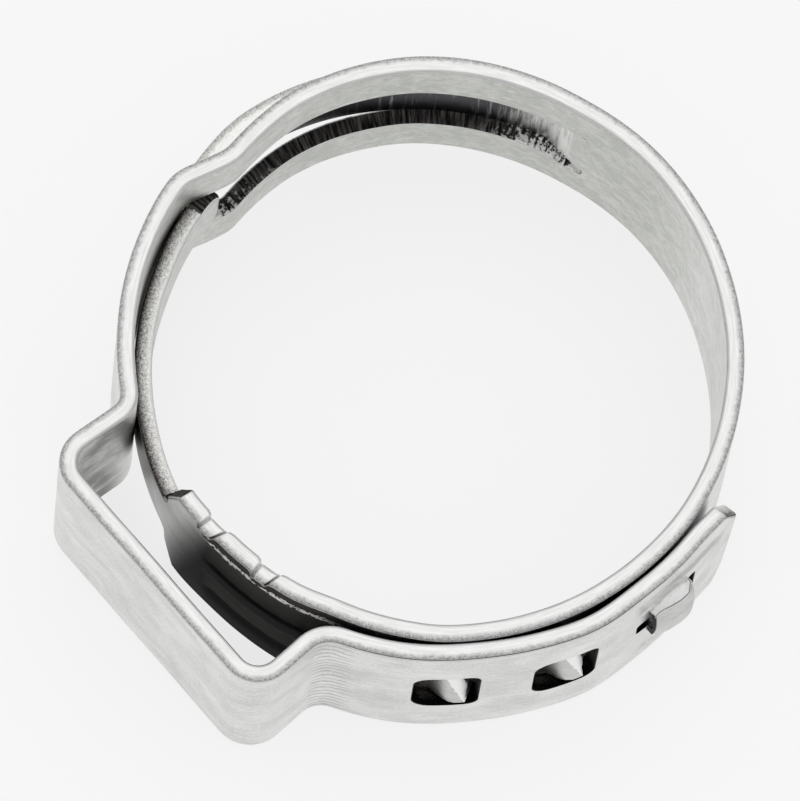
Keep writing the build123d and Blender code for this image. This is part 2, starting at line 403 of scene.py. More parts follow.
# --- the flat pattern ---
def loop(corners):
    """A closed outline from (s, z, corner radius), with its long sides cut into short steps."""
    points = []
    count = len(corners)
    for i, (s, z, radius) in enumerate(corners):
        here = Vector((s, z))
        to_last = (Vector(corners[i - 1][:2]) - here)
        to_next = (Vector(corners[(i + 1) % count][:2]) - here)
        half = to_last.angle(to_next) / 2
        trim = min(radius / tan(half), to_last.length * 0.45, to_next.length * 0.45)
        if radius and half < pi / 2 - 0.02:
            a, b = here + to_last.normalized() * trim, here + to_next.normalized() * trim
            pull = 4 / 3 * tan((pi - 2 * half) / 4) * trim * tan(half) / trim
            points += bezier(a, a.lerp(here, pull), b.lerp(here, pull), b, 5)
        else:
            points.append(here)
    dense = []
    for a, b in zip(points, points[1:] + points[:1]):
        steps = max(1, round((b - a).length / EDGE_STEP))
        dense += [a.lerp(b, i / steps) for i in range(steps)]
    return np.array([tuple(p) for p in dense])


def strip_outline():
    """Tongue, shoulders, nibs and cut tip; the material is on its left."""
    t, h = TONGUE_HALF_WIDTH, HALF_WIDTH
    slope, full = turn_to(SHOULDER_START), turn_to(SHOULDER_END)
    knee, knee_z = turn_to(SHOULDER_KNEE[0]), SHOULDER_KNEE[1]
    end = strip.length
    back, cut = TIP_CORNER
    (low_back, low_rise), (side_back, side_rise) = TIP_LOWER_CORNER
    below = [(0, -t, TONGUE_CORNER), (slope, -t, 0.3), (knee, -knee_z, 0.3), (full, -h, 0.15),
             (end - low_back, low_rise - h, 0.5), (end - side_back, side_rise - h, 0.6)]
    above = [(end, h - cut, 0.3), (end - back, h, 0.1)]
    for turn in reversed(NIBS):
        middle = turn_to(turn)
        above += [(middle + NIB_LENGTH / 2, h, 0.05), (middle + NIB_LENGTH / 2, h + NIB_HEIGHT, 0.08),
                  (middle - NIB_LENGTH / 4, h + NIB_HEIGHT, 0.1), (middle - NIB_LENGTH / 2, h, 0.1)]
    above += [(full, h, 0.15), (knee, knee_z, 0.3), (slope, t, 0.3), (0, t, TONGUE_CORNER)]
    return loop(below + above)


def slit(start, end, inner, outer):
    """A narrow cut beside the bridge, torn open where the punch broke out."""
    corner = abs(outer - inner) * 0.45
    torn_edge = outer + SLOT_TEAR[0] if outer > 0 else outer - SLOT_TEAR[1]
    return loop([(start, inner, corner), (end, inner, corner), (end, outer, corner),
                 (start + 1.6, outer, 0.2), (start + 0.8, torn_edge, 0.2),
                 (start + 0.05, torn_edge, 0.1)])


def window_outline(window):
    """A round-cornered window in the outer band."""
    start, end, h = turn_to(360 + window), turn_to(360 + window + WINDOW_LENGTH), WINDOW_HALF_WIDTH
    return loop([(start, -h, 0.6), (start, h, 0.6), (end, h, 0.4), (end, -h, 0.4)])


def guide_window_outline(window):
    """The third window has a narrow neck in front of it."""
    neck, start = turn_to(360 + window + GUIDE_NECK[0]), turn_to(360 + window + GUIDE_NECK[1])
    throat, end = turn_to(360 + window + GUIDE_THROAT), turn_to(360 + window + GUIDE_WINDOW_LENGTH)
    half = [(neck, GUIDE_NECK_HALF_WIDTH, 0.15), (start, GUIDE_NECK_HALF_WIDTH, 0.1),
            (start, GUIDE_WAIST_HALF_WIDTH, 0.2), (throat, GUIDE_WAIST_HALF_WIDTH, 0.1),
            (throat, WINDOW_HALF_WIDTH, 0.1), (end, WINDOW_HALF_WIDTH, 0.35)]
    return loop(half + [(s, -z, radius) for s, z, radius in reversed(half)])


def support_cut(tab):
    """The cut round a support hook: free at its far end, which is sheared on a slant."""
    a, w, c = tab.start, tab.half_width, tab.half_width + HOOK_SLIT
    far = tab.end + HOOK_FAR_CUT
    return loop([(a, w, 0.02), (a, c, 0.02), (far, c, 0.1), (far, -c, 0.1), (a, -c, 0.02), (a, -w, 0.02),
                 (tab.end + HOOK_SLANT, -w, 0.12), (tab.end - HOOK_SLANT, w, 0.12)])


def guide_cut(tab):
    """The cut round the guide hook: free at its near end."""
    b, w, c = tab.end, tab.half_width, tab.half_width + HOOK_SLIT
    near = tab.start - HOOK_FAR_CUT
    return loop([(b, -w, 0.02), (b, -c, 0.02), (near, -c, 0.1), (near, c, 0.1), (b, c, 0.02), (b, w, 0.02),
                 (tab.start, w, 0.5), (tab.start, -w, 0.5)])


def turned(points, anticlockwise):
    """The outline, going round the way asked for."""
    x, y = points[:, 0], points[:, 1]
    area = np.sum(x * np.roll(y, -1) - np.roll(x, -1) * y)
    return points if (area > 0) == anticlockwise else points[::-1]


def pattern():
    """All outlines of the flat strip, each with the material on its left."""
    bridge, first, second, guide = tabs
    slits = [slit(bridge.start, bridge.end, side * BRIDGE_HALF_WIDTH, side * SLOT_HALF_WIDTH)
             for side in (1, -1)]
    holes = slits + [window_outline(WINDOWS[0]), window_outline(WINDOWS[1]),
                     guide_window_outline(WINDOWS[2]), support_cut(first), support_cut(second),
                     guide_cut(guide)]
    return [turned(strip_outline(), True)] + [turned(hole, False) for hole in holes]


# where the cuts stand in the pattern
SLITS, WINDOW_CUTS, HOOK_CUTS = (1, 2), (3, 4, 5), (6, 7)


def inward(points):
    """The direction into the material at each point of an outline, longer at sharp corners."""
    before = points - np.roll(points, 1, axis=0)
    after = np.roll(points, -1, axis=0) - points
    before /= np.linalg.norm(before, axis=1)[:, None]
    after /= np.linalg.norm(after, axis=1)[:, None]
    left = np.stack([-before[:, 1] - after[:, 1], before[:, 0] + after[:, 0]], axis=1)
    size = np.linalg.norm(left, axis=1)[:, None]
    return left / size * np.minimum(2 / size, 1.4)


# --- relief ---
def bump(x, low, high, soft):
    """One inside a span, falling to nothing over a soft edge."""
    rise = np.clip((x - low) / soft + 0.5, 0, 1)
    fall = np.clip((high - x) / soft + 0.5, 0, 1)
    both = np.minimum(rise, fall)
    return both * both * (3 - 2 * both)


def relief(s, z):
    """How far the outer face is pressed in, or bevelled at the hooks' free ends."""
    sides = np.abs(z)
    groove = bump(s, turn_to(GROOVE_SPAN[0]), turn_to(GROOVE_SPAN[1]), 0.8)
    groove *= bump(sides, GROOVE_OFFSET - GROOVE_HALF_WIDTH, GROOVE_OFFSET + GROOVE_HALF_WIDTH, 0.25)
    middle = turn_to(360 + WINDOWS[2] + FLAT_MIDDLE)
    chord = FLAT_DEPTH - (s - middle) ** 2 / (2 * LATCH_FACE)
    flat = np.clip(chord, 0, None) * bump(sides, FLAT_SPAN[0], FLAT_SPAN[1], 0.06)
    bevel = np.zeros_like(s)
    for hook in tabs[1:3]:
        left = hook.end - HOOK_SLANT * z / hook.half_width - s
        on_bevel = hook.holds(s, z) & (left < HOOK_BEVEL)
        bevel += np.where(on_bevel, HOOK_BEVEL - np.maximum(left, 0), 0)
    return GROOVE_DEPTH * groove + flat + bevel


def roughen(s, z, n, scale, amount):
    """Small uneven offsets, one for each place."""
    spots = np.stack([s, z, n], axis=1) / scale
    return amount * np.array([noise.noise(Vector(spot)) for spot in spots])


def on_nib(s, z):
    """One on the nibs, nothing away from them."""
    up = bump(z, HALF_WIDTH - 0.5, HALF_WIDTH + 1, 0.5)
    half = NIB_LENGTH / 2
    return up * sum(bump(s, turn_to(nib) - half, turn_to(nib) + half, 0.2) for nib in NIBS)


def place(s, z, n):
    """Turns places on the flat strip, at a height n above its middle, into points in space."""
    drawn = s - NIB_LEAN * n / HALF_BAND * on_nib(s - NIB_LENGTH / 2, z)
    xy, out = strip.at(drawn)
    thick = np.ones_like(s)
    emboss = bump(s, turn_to(EMBOSS_START), strip.length - EMBOSS_END_GAP, 0.6)
    emboss *= bump(z, -EMBOSS_HALF_WIDTH, EMBOSS_HALF_WIDTH, 0.5)
    lift = NIB_LIFT * on_nib(s, z) + EMBOSS * emboss
    offset = spring(strip.turn_at(s))
    for tab in tabs:
        here = tab.holds(s, z)
        if here.any():
            xy[here], out[here] = tab.run.at(tab.stretch(s[here]))
            radius = np.linalg.norm(xy[here], axis=1)
            offset[here] = tab.sprung(s[here], radius)
            thick[here] = tab.thickness(s[here])
            raised = np.clip((radius - LATCH_MID) / 0.3, 0, 1)
            outer = np.clip(n[here] / BAND_THICKNESS + 0.5, 0, 1)
            lift[here] = tab.crown * raised * outer * (1 - (z[here] / tab.half_width) ** 2)
    away = xy / np.linalg.norm(xy, axis=1)[:, None]
    xy = xy + out * (n * thick + lift)[:, None] + away * offset[:, None]
    return np.column_stack([xy, z]) * MM


def inside(points, outlines):
    """Which points lie in the material between the outlines."""
    odd = np.zeros(len(points), bool)
    for ring in outlines:
        a, b = ring, np.roll(ring, -1, axis=0)
        for (ax, ay), (bx, by) in zip(a, b):
            crosses = (ay > points[:, 1]) != (by > points[:, 1])
            if crosses.any():
                crossing = ax + (points[:, 1] - ay) / (by - ay + 1e-12) * (bx - ax)
                odd ^= crosses & (points[:, 0] < crossing)
    return odd


def edge_profile(edge_round):
    """Inset and height down a cut edge: rounded, straight, rounded."""
    turn = [i / ROUND_STEPS * pi / 2 for i in range(ROUND_STEPS + 1)]
    top = [(edge_round * (1 - sin(a)), HALF_BAND - edge_round * (1 - cos(a))) for a in turn]
    flat = HALF_BAND - edge_round
    wall = [(0.0, flat * (1 - 2 * i / WALL_STEPS)) for i in range(1, WALL_STEPS)]
    return top + wall + [(inset, -height) for inset, height in reversed(top)]


def torn(s, z):
    """How badly a cut edge is torn: most where the punch broke out at the slot's ends."""
    slot = 0
    for turn, further, reach, size in TEARS:
        slot = slot + size * np.exp(-((s - turn_to(turn) - further) / reach) ** 2)
    return np.where(np.abs(z) < 2, slot, 0.25 * on_nib(s, z))


def shine(number, s, z, into):
    """Finish of a cut edge, by the place of its outline in the pattern."""
    if number == 0:
        long_edge = (np.abs(z) > HALF_WIDTH - 0.02) & (np.abs(into[:, 1]) > 0.9)
        on_tongue = s < turn_to(SHOULDER_START - 1)
        on_tongue_end = (s < TONGUE_CORNER + 0.3) & (z > 0.3)
        on_shoulder = s < turn_to(DARK_SHOULDER_END)
        finish = np.where(into[:, 0] > 0, NIB_START, NIB_END)
        # the shoulder's edges and the top edge at the tongue's end get the rails' dark finish; at the
        # tongue's end this is oxide and painted shade
        finish = np.where(on_shoulder & ~on_tongue | on_tongue_end, RAIL_WALL, finish)
        on_latch = s > turn_to(LATCH_FINISH_START)
        finish = np.where(on_tongue & ~on_tongue_end | on_latch, TONGUE_WALL, finish)
        return np.where(long_edge, RIM, finish)
    if number in SLITS:
        on_bridge = np.abs(z) < (BRIDGE_HALF_WIDTH + SLOT_HALF_WIDTH) / 2
        rail = RAIL_WALL + (TORN_RAIL - RAIL_WALL) * np.clip(torn(s, z), 0, 1)
        return np.where(on_bridge, BRIDGE_WALL, rail)
    if number in WINDOW_CUTS:
        return np.full_like(s, WINDOW_WALL)
    if number in HOOK_CUTS:
        return np.where(tabs[number - HOOK_CUTS[0] + 1].holds(s, z), HOOK_WALL, HIDDEN_WALL)
    return np.where(tabs[3].holds(s, z), GUIDE_WALL, HIDDEN_WALL)


def burnished_and_highlit(s, z):
    """Finish of the faces: the support hooks' bevels are burnished and painted white as a highlight, the
    hooks' faces grey.
    """
    finish = np.zeros_like(s)
    for hook in tabs[1:]:
        finish = np.where(hook.holds(s, z), HOOK_FACE, finish)
    for hook in tabs[1:3]:
        left = hook.end - HOOK_SLANT * z / hook.half_width - s
        finish = np.where(hook.holds(s, z) & (left < HOOK_BEVEL + 0.005), BEVEL_FACE, finish)
    return finish


def openness(points, faces, normals, rays=28, reach=7.0):
    """How much of what each point faces is open, from nothing in a crevice to one."""
    tree = BVHTree.FromPolygons(points.tolist(), faces, epsilon=0.0)
    golden = pi * (3 - 5 ** 0.5)
    rim = [((1 - 2 * (i + 0.5) / rays), golden * i) for i in range(rays)]
    sphere = np.array([(cos(a) * (1 - h * h) ** 0.5, sin(a) * (1 - h * h) ** 0.5, h)
                       for h, a in rim])
    free = np.ones(len(normals))
    for i, (point, normal) in enumerate(zip(points, normals)):
        aims = sphere + normal * 1.02
        aims /= np.linalg.norm(aims, axis=1)[:, None]
        start = point + normal * 0.012
        shut = 0.0
        for aim in aims:
            hit = tree.ray_cast(start, aim, reach)
            if hit[0] is not None:
                shut += 1 - 0.6 * hit[3] / reach
        free[i] = 1 - shut / rays
    return free


def denser(outlines):
    """Places for the mesh: an even grid, closer together round the hooks and their windows."""
    shake = np.random.default_rng(3)
    high = HALF_WIDTH + 0.5
    spans = [(0, strip.length, FACE_STEP)]
    for tab in tabs[1:]:
        spans.append((tab.start - 0.4, tab.end + 0.5, FINE_STEP))
    for window in WINDOWS:
        start, end = turn_to(360 + window), turn_to(360 + window + WINDOW_LENGTH)
        spans.append((start - 0.5, end + 0.6, FINE_STEP))
    found = []
    for start, end, (step_s, step_z) in spans:
        grid = np.mgrid[start:end:step_s, -high:high:step_z].reshape(2, -1).T
        grid += shake.uniform(-0.15, 0.15, grid.shape) * (step_s, step_z)
        found.append(grid[inside(grid, outlines)])
    return found


def hook_creases(first):
    """Lines where the support hooks' bevels start; their spots are numbered from the one given."""
    spots, edges = [], []
    for hook in tabs[1:3]:
        start, across = first + len(spots), np.linspace(-1, 1, 28) * (hook.half_width - 0.1)
        spots += [(hook.end - HOOK_SLANT * z / hook.half_width - HOOK_BEVEL, z) for z in across]
        edges += [(start + i, start + i + 1) for i in range(len(across) - 1)]
    return spots, edges


def spaced(grid, spots, keep_off):
    """The places of a grid that keep off the spots already laid out."""
    placed = np.array(spots)
    placed = placed[np.argsort(placed[:, 0])]
    near = np.full(len(grid), 9.0)
    lows = np.searchsorted(placed[:, 0], grid[:, 0] - 0.1)
    highs = np.searchsorted(placed[:, 0], grid[:, 0] + 0.1)
    for i, (low, high) in enumerate(zip(lows, highs)):
        if high > low:
            near[i] = np.abs(placed[low:high] - grid[i]).max(axis=1).min()
    return grid[near > keep_off].tolist()


def flat_face(outlines, rounds):
    """The flat face, its triangles, and its vertices along each cut.

    It has a ring just inside each cut, a ring that holds it flat, then an even grid.
    """
    spots, edges, rings = [], [], []
    for points, edge_round in zip(outlines, rounds):
        into = inward(points)
        for inset in (edge_round, edge_round + EDGE_REST):
            ids = np.arange(len(spots), len(spots) + len(points))
            spots += (points + into * inset).tolist()
            edges += np.column_stack([ids, np.roll(ids, -1)]).tolist()
            if inset == edge_round:
                rings.append(ids)
    drawn = [np.array(spots)[ids] for ids in rings]
    crease_spots, crease_edges = hook_creases(len(spots))
    spots += crease_spots
    edges += crease_edges
    for grid, keep_off in zip(denser(outlines), [0.09] + [0.05] * 6):
        spots += spaced(grid, spots, keep_off)

    laid, _, triangles, came_from, _, _ = delaunay_2d_cdt(
        [Vector(p) for p in spots], edges, [], 0, 1e-5)
    face = np.array([tuple(p) for p in laid])
    moved_to = {source: out_id for out_id, sources in enumerate(came_from) for source in sources}
    triangles = np.array(triangles)
    triangles = triangles[inside(face[triangles].mean(axis=1), drawn)]
    return face, triangles, [np.array([moved_to[i] for i in ids]) for ids in rings]


def cut_wall(points, edge_round):
    """Rows of places down a cut edge, between the two faces, and their heights."""
    into = inward(points)
    x, y = points[:, 0], points[:, 1]
    for inset, height in edge_profile(edge_round)[1:-1]:
        share = 1 - inset / edge_round
        level = np.full(len(points), height)
        rough = roughen(x, y, level, CUT_GRAIN[0], share * CUT_GRAIN[1])
        rough += roughen(x, y, level + 9, *TEAR_GRAIN) * torn(x, y) * share
        moved = points + into * (inset + np.clip(rough, *TEAR_LIMITS))[:, None]
        sag = roughen(x, y, x * 0, *WAVE)
        level = np.minimum(level, HALF_BAND - relief(moved[:, 0], moved[:, 1]))
        yield height, place(moved[:, 0], moved[:, 1], sag + level)


def stamp():
    """Builds the strip: two faces and a rounded wall along every cut."""
    outlines = pattern()
    rounds = [EDGE_ROUND] + [CUT_ROUND] * (len(outlines) - 1)
    face, triangles, rings = flat_face(outlines, rounds)

    s, z = face[:, 0], face[:, 1]
    wave = roughen(s, z, np.zeros_like(s), *WAVE) + roughen(s, z, s * 0 + 5, *DIMPLES)
    places = [place(s, z, wave + HALF_BAND - relief(s, z)), place(s, z, wave - HALF_BAND)]
    spread = [face, face + (0, INNER_SHIFT)]
    finishes = [burnished_and_highlit(s, z), np.zeros(len(face))]
    faces = triangles.tolist() + (triangles[:, ::-1] + len(face)).tolist()
    kinds = [0] * len(faces)
    count = 2 * len(face)
    for number, (points, edge_round, top) in enumerate(zip(outlines, rounds, rings)):
        finish = shine(number, points[:, 0], points[:, 1], inward(points))
        along = points[:, 0] + np.where(finish < RIM, points[:, 1], 0)
        rows = [top]
        for height, row in cut_wall(points, edge_round):
            places.append(row)
            spread.append(np.column_stack([along, np.full(len(points), WALL_SHIFT + height)]))
            finishes.append(finish)
            rows.append(np.arange(count, count + len(points)))
            count += len(points)
        rows.append(top + len(face))
        for upper, lower in zip(rows, rows[1:]):
            quads = np.column_stack([upper, lower, np.roll(lower, -1), np.roll(upper, -1)])
            faces += quads.tolist()
            kinds += [1] * len(quads)

    mesh = bpy.data.meshes.new("band")
    places = np.concatenate(places)
    mesh.from_pydata(places.tolist(), [], faces)
    mesh.polygons.foreach_set("material_index", kinds)
    mesh.polygons.foreach_set("use_smooth", [True] * len(faces))
    normals = np.zeros(len(places) * 3)
    mesh.vertex_normals.foreach_get("vector", normals)
    # how open each place is, from which the materials paint shade into crevices
    free = openness(places / MM, faces, normals.reshape(-1, 3))
    corner = np.zeros(len(mesh.loops), int)
    mesh.loops.foreach_get("vertex_index", corner)
    openness_and_finish = np.column_stack([free, np.concatenate(finishes)])
    for name, values in (("strip", np.concatenate(spread)), ("openness_and_finish", openness_and_finish)):
        layer = mesh.uv_layers.new(name=name)
        layer.data.foreach_set("uv", values[corner].ravel())
    mesh.validate()
    band = bpy.data.objects.new("band", mesh)
    bpy.context.scene.collection.objects.link(band)
    return band


# --- materials ---
class Wire:
    """A shader socket that can be used in plain sums."""

    def __init__(self, shader, socket):
        self.shader, self.socket = shader, socket

    def maths(self, operation, *values):
        return self.shader.node("ShaderNodeMath", {"operation": operation}, *values)

    def __add__(self, other):
        return self.maths("ADD", self, other)

    def __sub__(self, other):
        return self.maths("SUBTRACT", self, other)

    def __rsub__(self, other):
        return self.maths("SUBTRACT", other, self)

    def __mul__(self, other):
        return self.maths("MULTIPLY", self, other)

    __radd__, __rmul__ = __add__, __mul__

    def zone(self, low, high, soft):
        """One inside a span, nothing outside it."""
        rise = self.between(low - soft / 2, low + soft / 2)
        return rise - rise * self.between(high - soft / 2, high + soft / 2)

    def between(self, low, high):
        """Nothing below one value, one above the other, smooth between."""
        smooth = {"interpolation_type": "SMOOTHSTEP", "clamp": True}
        return self.shader.node("ShaderNodeMapRange", smooth, Value=self, From_Min=low, From_Max=high)


class Shader:
    """One material and the nodes in it."""

    def __init__(self, name):
        self.material = bpy.data.materials.new(name)
        self.material.use_nodes = True
        self.tree = self.material.node_tree
        self.tree.nodes.clear()

    def put(self, socket, value):
        if isinstance(value, Wire):
            self.tree.links.new(value.socket, socket)
        elif value is not None:
            socket.default_value = value

    def node(self, kind, settings=None, *values, output=0, **named):
        """Adds a node: its settings first, then its sockets by place or by name."""
        node = self.tree.nodes.new(kind)
        for key, value in (settings or {}).items():
            setattr(node, key, value)
        for socket, value in zip(node.inputs, values):
            self.put(socket, value)
        for key, value in named.items():
            self.put(node.inputs[key.replace("_", " ")], value)
        return Wire(self, node.outputs[output]) if node.outputs else None

    def place_on_strip(self):
        """Length along the strip and place across it."""
        return self.node("ShaderNodeUVMap", {"uv_map": "strip"})

    def openness_and_finish(self):
        """How open the place is, and its finish."""
        return self.split(self.node("ShaderNodeUVMap", {"uv_map": "openness_and_finish"}))[:2]

    def split(self, vector):
        node = self.tree.nodes.new("ShaderNodeSeparateXYZ")
        self.put(node.inputs[0], vector)
        return [Wire(self, out) for out in node.outputs]

    def stretched(self, vector, x, y):
        """The same places, scaled along and across the strip."""
        return self.node("ShaderNodeVectorMath", {"operation": "MULTIPLY"}, vector, (x, y, 1))

    def grain(self, vector, scale, detail=4.0, roughness=0.6, warp=0.0):
        return self.node("ShaderNodeTexNoise", {}, Vector=vector, Scale=scale, Detail=detail,
                         Roughness=roughness, Distortion=warp)

    def blend(self, share, a, b):
        """Mixes two colours."""
        node = self.tree.nodes.new("ShaderNodeMix")
        node.data_type = "RGBA"
        self.put(node.inputs["Factor"], share)
        self.put(node.inputs[6], a)
        self.put(node.inputs[7], b)
        return Wire(self, node.outputs[2])

    def finish(self, dull, **named):
        """The surface, from the principled shader's sockets; matt where it is dull."""
        clean = self.node("ShaderNodeBsdfPrincipled", {}, **named)
        matt = self.node("ShaderNodeBsdfPrincipled", {}, Base_Color=named["Base_Color"],
                         Roughness=0.7, Specular_IOR_Level=0.1)
        surface = self.node("ShaderNodeMixShader", {}, dull, clean, matt)
        self.node("ShaderNodeOutputMaterial", {}, surface)
        return self.material


GREY = (0.60, 0.60, 0.585, 1)
LIGHT = (0.86, 0.86, 0.845, 1)
INNER_GREY = (0.48, 0.49, 0.46, 1)
INNER_LIGHT = (0.80, 0.81, 0.78, 1)
BLACK = (0.004, 0.004, 0.004, 1)
GROOVE_SHADE_GREY = (0.11, 0.115, 0.10, 1)
BROWN = (0.07, 0.06, 0.055, 1)
WHITE = (0.93, 0.93, 0.92, 1)
DARK_REFLECTION = (0.06, 0.06, 0.055, 1)
PALE_REFLECTION = (0.55, 0.55, 0.53, 1)
LEAD_SHADE_DARK = (0.022, 0.024, 0.026, 1)
SCORED_SHADE_DARK = (0.035, 0.032, 0.04, 1)
HOOK_GREY = (0.25, 0.25, 0.235, 1)
SCUFF_DARK = (0.12, 0.11, 0.10, 1)
LIT_SCUFF_GREY = (0.8, 0.77, 0.73, 1)
BEVEL_HIGHLIGHT_WHITE = (1.0, 1.0, 0.99, 1)
WRINKLE_SHADE = (0.22, 0.22, 0.21, 1)
CREASE_SHADE = (0.25, 0.25, 0.245, 1)

RIM_PITTED = (0.30, 0.30, 0.295, 1)
RIM_GREY = (0.60, 0.60, 0.595, 1)
RIM_STREAKED = (0.56, 0.56, 0.555, 1)
RIM_BRIGHT = (0.68, 0.68, 0.675, 1)
STAMPED_LIGHT = (0.74, 0.74, 0.72, 1)
RAIL_GREY = (0.15, 0.14, 0.135, 1)
FROST_GREY = (0.66, 0.66, 0.65, 1)
FROST_WHITE = (1.0, 1.0, 1.0, 1)
LIP_GREY = (0.3, 0.3, 0.29, 1)


def within(along, turns, soft):
    """One between two turns of the strip, nothing outside them."""
    return along.zone(turn_to(turns[0]), turn_to(turns[1]), soft)


def past(along, turns):
    """Nothing before the first turn of the strip, one after the second."""
    return along.between(turn_to(turns[0]), turn_to(turns[1]))


def rolled_steel():
    """Satin faces of mill-rolled stainless, with fine marks along the strip."""
    m = Shader("rolled_steel")
    strip_place = m.place_on_strip()
    along, across, _ = m.split(strip_place)
    is_open, finish = m.openness_and_finish()
    white, on_hook = finish.between(0.7, 0.9), finish.between(0.1, 0.3)
    inner = across.between(INNER_SHIFT / 2 - 1, INNER_SHIFT / 2 + 1)
    height = across - inner * INNER_SHIFT

    # the sheet itself: lighter outside, more mottled inside, and greyer inside as painted shade, greyest
    # opposite the ear
    brush = m.grain(m.stretched(strip_place, 0.8, 9), 1.0, 6, 0.7)
    cloud = m.grain(m.stretched(strip_place, 0.5, 0.7), 1.0, 4, 0.55, 0.6)
    patch = m.grain(m.stretched(strip_place, 2.2, 3.2), 1.0, 3, 0.6, 1.2)
    speck = m.grain(strip_place, 9.0, 3, 0.6)
    tone = brush * 0.3 + cloud * 0.4 + speck * 0.3
    mottle = patch * 0.5 + cloud * 0.3 + brush * 0.2
    far = within(along, FAR_INSIDE, 5.0) + 0.8 * (1 - past(along, NEAR_INSIDE))
    inner_share = mottle.between(0.34, 0.66) * 0.7 + 0.3 - far * 0.45
    inner_colour = m.blend(inner_share, INNER_GREY, INNER_LIGHT)
    colour = m.blend(inner, m.blend(tone.between(0.36, 0.62), GREY, LIGHT), inner_colour)

    # the ear's legs are painted inside with dark, streaked reflections
    legs = within(along, LEG_REFLECTIONS, 1.2) * inner
    reflected = (cloud * 0.7 + brush * 0.3 + height * 0.03).between(0.40, 0.60)
    colour = m.blend(legs * 0.9, colour, m.blend(reflected, DARK_REFLECTION, PALE_REFLECTION))

    # under the ear the inner band is painted dark and matt as shade, in bands across its height, with a
    # painted highlight along a burr by the groove
    band_back = (1 - inner) * (1 - past(along, EAR_SHADE_END))
    under = past(along, EAR_SHADE_START) * band_back
    lead_start = turn_to(EAR_SHADE_LEAD)
    lead = (along - height * 0.26).between(lead_start - 1.2, lead_start + 0.9) * band_back
    colour = m.blend(lead, colour, LEAD_SHADE_DARK)
    banded_shade = m.blend(height.zone(0.65, 2.35, 0.12) + height.zone(-2.0, -0.8, 0.12), BLACK, GROOVE_SHADE_GREY)
    banded_shade = m.blend(height.between(2.88, 2.96), banded_shade, BROWN)
    ragged = height + (m.grain(strip_place, 5.0, 3, 0.8) - 0.5) * 0.5
    burr_highlight = ragged.zone(2.54, 2.84, 0.05) * (speck * 0.7 + patch * 0.5).between(0.54, 0.62)
    colour = m.blend(under, colour, m.blend(burr_highlight, banded_shade, WHITE))
    dull = (under + lead - under * lead) * (1 - burr_highlight)

    # the bridge's underside is scored across and painted dark as shade, least near the foot of its ramp
    bridge = within(along, (360 + SLOT_END + 2, 360 + RAIL_END - 4), 0.3) * inner
    bridge = bridge * height.zone(-SLOT_HALF_WIDTH, SLOT_HALF_WIDTH, 0.02)
    score = m.grain(m.stretched(strip_place, 5.0, 0.25), 1.0, 5, 0.75)
    dark = (score - past(along, BRIDGE_FADE) * 0.30 + 0.02).between(0.24, 0.56)
    colour = m.blend(bridge, colour, m.blend(dark, SCORED_SHADE_DARK, INNER_LIGHT))

    # the hooks are greyer, and crevices are painted dark as shade, by how open each place is
    colour = m.blend(on_hook * 0.3, colour, HOOK_GREY)
    shade = is_open.between(0.02, 0.58)
    colour = m.blend(shade, m.blend(0.04, BLACK, colour), colour)
    # the layer under the windows is scuffed, and painted lighter there as light in the windows' cavities
    under_windows = within(along, LIT_SCUFFS[0], 0.3) + within(along, LIT_SCUFFS[1], 0.3)
    under_windows = under_windows * height.zone(-1.5, 0.6, 0.2) * (1 - inner)
    scuff = m.grain(m.stretched(strip_place, 5, 0.5), 1.0, 4, 0.7).between(0.38, 0.62)
    colour = m.blend(under_windows * 0.8, colour, m.blend(scuff, SCUFF_DARK, LIT_SCUFF_GREY))
    # painted highlight: the support hooks' bevels are white
    colour = m.blend(white, colour, BEVEL_HIGHLIGHT_WHITE)

    # fine wrinkles across the sheet at the ear's root, as a bump, with painted shade along them
    root = along.zone(turn_to(EAR_ROOT) + 0.6, turn_to(EAR_ROOT) + 2.3, 0.9) * (1 - inner)
    ripple = m.node("ShaderNodeMath", {"operation": "SINE"}, height * 19 + cloud * 14) * root
    colour = m.blend(ripple.between(0.1, 1.0) * 0.5, colour, WRINKLE_SHADE)

    # painted shade, dotted, along the crease where the latch end stands out, by the rim
    crease = (height + (speck - 0.5) * 0.3).zone(1.95, 2.30, 0.2)
    crease = crease * along.zone(turn_to(CREASE_START), strip.length - 0.9, 0.8)
    crease = crease * (1 - inner) * brush.between(0.25, 0.5)
    colour = m.blend(crease * 0.5, colour, CREASE_SHADE)
    rough = 0.26 + tone * 0.16
    relief_node = m.node("ShaderNodeBump", {}, Strength=0.3, Distance=0.00003,
                         Height=brush * 0.5 + speck * 0.4 + ripple * 0.6)
    return m.finish(dull, Base_Color=colour, Metallic=1 - white * 0.8, Roughness=rough,
                    Normal=relief_node)


